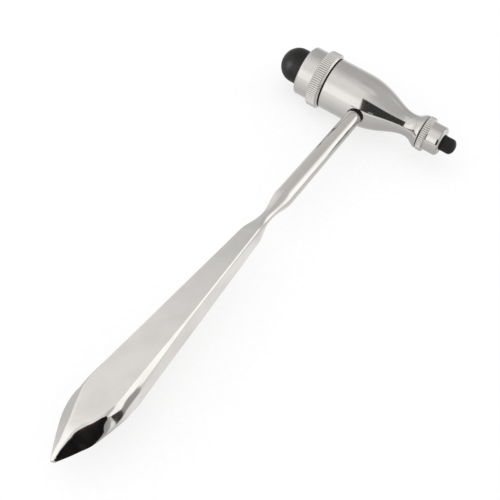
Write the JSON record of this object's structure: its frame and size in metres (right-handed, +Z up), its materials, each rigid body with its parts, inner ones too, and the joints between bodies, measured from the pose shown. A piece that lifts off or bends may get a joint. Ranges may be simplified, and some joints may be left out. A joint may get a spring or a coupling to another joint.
{
  "type": "reflex hammer",
  "caption": "Chrome reflex hammer with a turned head, a large and a small rubber end held by knurled screw collars, and a flat grip that ends in a spear point.",
  "frame": {"origin": "on the surface the hammer lies on, under the middle of its box", "axes": "+X along the head towards the small end, +Y along the shaft from the spear point to the head, +Z up"},
  "size_m": [0.0862, 0.2444, 0.0259],
  "materials": {
    "handle_chrome": "polished, with fine grinding marks on the flats",
    "head_chrome": "polished",
    "collar_chrome": "polished, with straight knurling",
    "mallet_rubber": "matte black",
    "ring_rubber": "black"
  },
  "bodies": {
    "handle": {"handle": "handle_chrome"},
    "shaft_ring": {"shaft_ring": "ring_rubber"},
    "head": {"head_body": "head_chrome", "collar_ring": "ring_rubber"},
    "large_mallet": {"large_mallet": "mallet_rubber"},
    "large_collar": {"large_collar": "collar_chrome"},
    "small_mallet": {"small_mallet": "mallet_rubber"},
    "small_collar": {"small_collar": "collar_chrome"}
  },
  "joints": [
    {"name": "head_travel", "type": "slide", "parent": "handle", "child": "shaft_ring", "axis": [0, 1, 0], "range_m": [0, 0.00501]},
    {"name": "head_turn", "type": "hinge", "parent": "shaft_ring", "child": "head", "pos_m": [-0.0006, 0.10924, 0.01296], "axis": [0, 1, 0], "range_deg": [0, 1440]},
    {"name": "large_collar_travel", "type": "slide", "parent": "head", "child": "large_mallet", "axis": [-1, 0, 0], "range_m": [0, 0.00601]},
    {"name": "large_collar_turn", "type": "hinge", "parent": "large_mallet", "child": "large_collar", "pos_m": [-0.0006, 0.10924, 0.01296], "axis": [-1, 0, 0], "range_deg": [0, 1080]},
    {"name": "small_collar_travel", "type": "slide", "parent": "head", "child": "small_mallet", "axis": [1, 0, 0], "range_m": [0, 0.00407]},
    {"name": "small_collar_turn", "type": "hinge", "parent": "small_mallet", "child": "small_collar", "pos_m": [-0.0006, 0.10924, 0.01296], "axis": [1, 0, 0], "range_deg": [0, 1170]}
  ],
  "couplings": [
    {"joint": "head_travel", "follows": "head_turn", "m_per_rad": 0.00019894},
    {"joint": "large_collar_travel", "follows": "large_collar_turn", "m_per_rad": 0.00031831},
    {"joint": "small_collar_travel", "follows": "small_collar_turn", "m_per_rad": 0.00019894}
  ]
}
